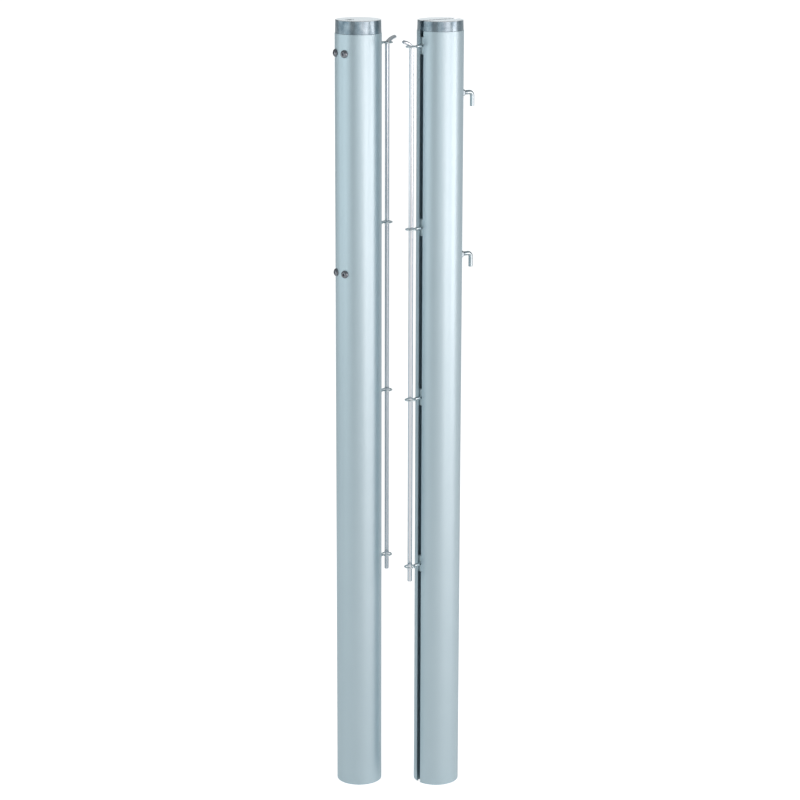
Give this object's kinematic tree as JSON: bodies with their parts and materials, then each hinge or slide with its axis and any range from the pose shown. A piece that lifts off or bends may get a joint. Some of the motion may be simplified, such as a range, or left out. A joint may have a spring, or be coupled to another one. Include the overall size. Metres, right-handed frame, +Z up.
{
  "type": "net post",
  "caption": "Pair of round aluminium tennis net posts with slotted sides, eyelets and net rods, one with a rope tensioner inside, one with a grooved cap and rope hooks.",
  "frame": {"origin": "the middle of the pair's footprint, on the plane of the tubes' open feet", "axes": "+Z up along both posts; +X from the tension post towards the anchor post along the net's direction, so the tension post's T-slot is on its +X side and the anchor post's on its -X side; the posts stand side by side as in the picture, 37 degrees off the X axis"},
  "size_m": [0.2364, 0.1696, 1.42],
  "materials": {
    "anodised_tube": "satin anodised",
    "cast_cap": "polished casting",
    "zinc_steel": "bright zinc plate",
    "bright_steel": "polished",
    "slider_steel": "plain zinc plate",
    "block_aluminium": "as extruded",
    "spindle_steel": "machined, oiled",
    "bronze": "machined",
    "black_nylon": "moulded, matt"
  },
  "bodies": {
    "posts": {"anchor_tube": "anodised_tube", "anchor_cap": "cast_cap", "hook_rivet_nuts": "zinc_steel", "hook_washers": "zinc_steel", "hook_lock_nuts": "zinc_steel", "upper_rope_hook": "bright_steel", "lower_rope_hook": "bright_steel", "tension_tube": "anodised_tube", "tension_cap": "cast_cap", "pulley_axle": "slider_steel", "upper_bearing_block": "block_aluminium", "lower_bearing_block": "block_aluminium", "upper_bush": "bronze", "lower_bush": "bronze", "thrust_bearing": "bright_steel", "lower_thrust_washer": "bronze", "block_screws": "slider_steel"},
    "spindle_set": {"spindle": "spindle_steel", "crank_socket": "zinc_steel", "socket_pin": "spindle_steel", "spindle_lock_nut": "zinc_steel"},
    "carriage_set": {"tension_carriage": "block_aluminium", "carriage_nut": "bronze"},
    "pulley_set": {"pulley": "black_nylon", "pulley_bush": "bronze"},
    "tension_rod_body": {"tension_rod": "zinc_steel", "tension_rod_tip": "zinc_steel"},
    "anchor_rod_body": {"anchor_rod": "zinc_steel", "anchor_rod_tip": "zinc_steel"},
    "tension_eyelet_set_1": {"tension_slider_1": "slider_steel", "tension_eyelet_1": "bright_steel"},
    "tension_eyelet_set_2": {"tension_slider_2": "slider_steel", "tension_eyelet_2": "bright_steel"},
    "tension_eyelet_set_3": {"tension_slider_3": "slider_steel", "tension_eyelet_3": "bright_steel"},
    "tension_eyelet_set_4": {"tension_slider_4": "slider_steel", "tension_eyelet_4": "bright_steel"},
    "anchor_eyelet_set_1": {"anchor_slider_1": "slider_steel", "anchor_eyelet_1": "bright_steel"},
    "anchor_eyelet_set_2": {"anchor_slider_2": "slider_steel", "anchor_eyelet_2": "bright_steel"},
    "anchor_eyelet_set_3": {"anchor_slider_3": "slider_steel", "anchor_eyelet_3": "bright_steel"},
    "anchor_eyelet_set_4": {"anchor_slider_4": "slider_steel", "anchor_eyelet_4": "bright_steel"}
  },
  "joints": [
    {"name": "spindle_turn", "type": "hinge", "parent": "posts", "child": "spindle_set", "pos_m": [-0.09235, 0.04333, 1.2], "axis": [0, 0, -1], "range_deg": [0, 25200]},
    {"name": "carriage_slide", "type": "slide", "parent": "posts", "child": "carriage_set", "axis": [0, 0, -1], "range_m": [0, 0.2802]},
    {"name": "pulley_spin", "type": "hinge", "parent": "posts", "child": "pulley_set", "pos_m": [-0.06435, 0.04333, 1.401], "axis": [0, 1, 0], "continuous": true},
    {"name": "tension_rod_lift", "type": "slide", "parent": "posts", "child": "tension_rod_body", "axis": [0, 0, 1], "range_m": [0, 0.96]},
    {"name": "anchor_rod_lift", "type": "slide", "parent": "posts", "child": "anchor_rod_body", "axis": [0, 0, 1], "range_m": [0, 0.96]},
    {"name": "tension_eyelet_1_slide", "type": "slide", "parent": "posts", "child": "tension_eyelet_set_1", "axis": [0, 0, 1], "range_m": [-0.41, 0.28]},
    {"name": "tension_eyelet_2_slide", "type": "slide", "parent": "posts", "child": "tension_eyelet_set_2", "axis": [0, 0, 1], "range_m": [-0.28, 0.275]},
    {"name": "tension_eyelet_3_slide", "type": "slide", "parent": "posts", "child": "tension_eyelet_set_3", "axis": [0, 0, 1], "range_m": [-0.275, 0.28]},
    {"name": "tension_eyelet_4_slide", "type": "slide", "parent": "posts", "child": "tension_eyelet_set_4", "axis": [0, 0, 1], "range_m": [-0.28, 0]},
    {"name": "anchor_eyelet_1_slide", "type": "slide", "parent": "posts", "child": "anchor_eyelet_set_1", "axis": [0, 0, 1], "range_m": [-0.41, 0.28]},
    {"name": "anchor_eyelet_2_slide", "type": "slide", "parent": "posts", "child": "anchor_eyelet_set_2", "axis": [0, 0, 1], "range_m": [-0.28, 0.275]},
    {"name": "anchor_eyelet_3_slide", "type": "slide", "parent": "posts", "child": "anchor_eyelet_set_3", "axis": [0, 0, 1], "range_m": [-0.275, 0.28]},
    {"name": "anchor_eyelet_4_slide", "type": "slide", "parent": "posts", "child": "anchor_eyelet_set_4", "axis": [0, 0, 1], "range_m": [-0.28, 0]}
  ],
  "couplings": [
    {"joint": "carriage_slide", "follows": "spindle_turn", "m_per_rad": 0.00063662}
  ]
}
